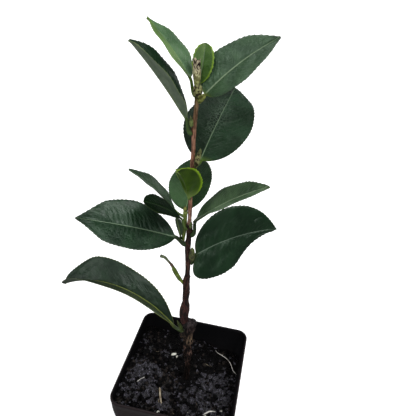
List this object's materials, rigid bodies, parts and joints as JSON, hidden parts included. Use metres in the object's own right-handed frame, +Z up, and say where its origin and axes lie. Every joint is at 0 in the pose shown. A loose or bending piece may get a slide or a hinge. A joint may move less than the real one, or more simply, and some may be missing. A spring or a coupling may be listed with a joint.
{
  "type": "potted camellia",
  "caption": "Young camellia with an upright woody stem, glossy toothed oval leaves and a papery tip bud, in a square tapered nursery pot filled with potting mix.",
  "frame": {"origin": "centre of the pot's flat underside", "axes": "+Z up along the stem, -Y toward the picture's viewer, +X to the viewer's right"},
  "size_m": [0.1512, 0.1098, 0.3355],
  "materials": {
    "pot_plastic": "black moulded plastic, satin",
    "potting_mix": "damp dark potting mix of bark and peat",
    "old_wood": "weathered wood with peeling bark",
    "bark": "thin purple-brown bark, satin",
    "green_wood": "smooth green shoot",
    "leaf_pale": "glossy leaf, grey-green in the light",
    "leaf_green": "glossy green leaf",
    "leaf_dark": "glossy dark green leaf",
    "leaf_darkest": "glossy leaf in deep shade green",
    "leaf_young": "glossy yellow-green young leaf",
    "leaf_youngest": "glossy young leaf with a light rim",
    "bud_green": "smooth green bud scales",
    "bud_papery": "dry papery bud scales",
    "bud_brown": "green-brown bud scales"
  },
  "bodies": {
    "root": {"pot": "pot_plastic", "soil": "potting_mix", "cutting_wood": "old_wood", "main_stem": "bark", "side_shoot": "green_wood", "bud_shoot": "green_wood", "leaf_top_left": "leaf_pale", "leaf_upper_left": "leaf_green", "leaf_youngest": "leaf_youngest", "leaf_upper_right": "leaf_green", "leaf_upper_back": "leaf_dark", "leaf_young_front": "leaf_young", "leaf_small_left": "leaf_darkest", "leaf_mid_right": "leaf_pale", "leaf_mid_left": "leaf_dark", "leaf_lower_right": "leaf_dark", "leaf_lowest": "leaf_dark", "leaf_side_bract": "leaf_darkest", "leaf_side_left": "leaf_dark", "leaf_side_back": "leaf_green", "bud_upper_left": "bud_green", "bud_upper_right": "bud_papery", "bud_upper_back": "bud_papery", "bud_mid_right": "bud_green", "bud_lower_right": "bud_brown", "bud_on_cutting": "bud_brown", "bud_side_shoot": "bud_green", "terminal_bud": "bud_papery"}
  },
  "joints": []
}
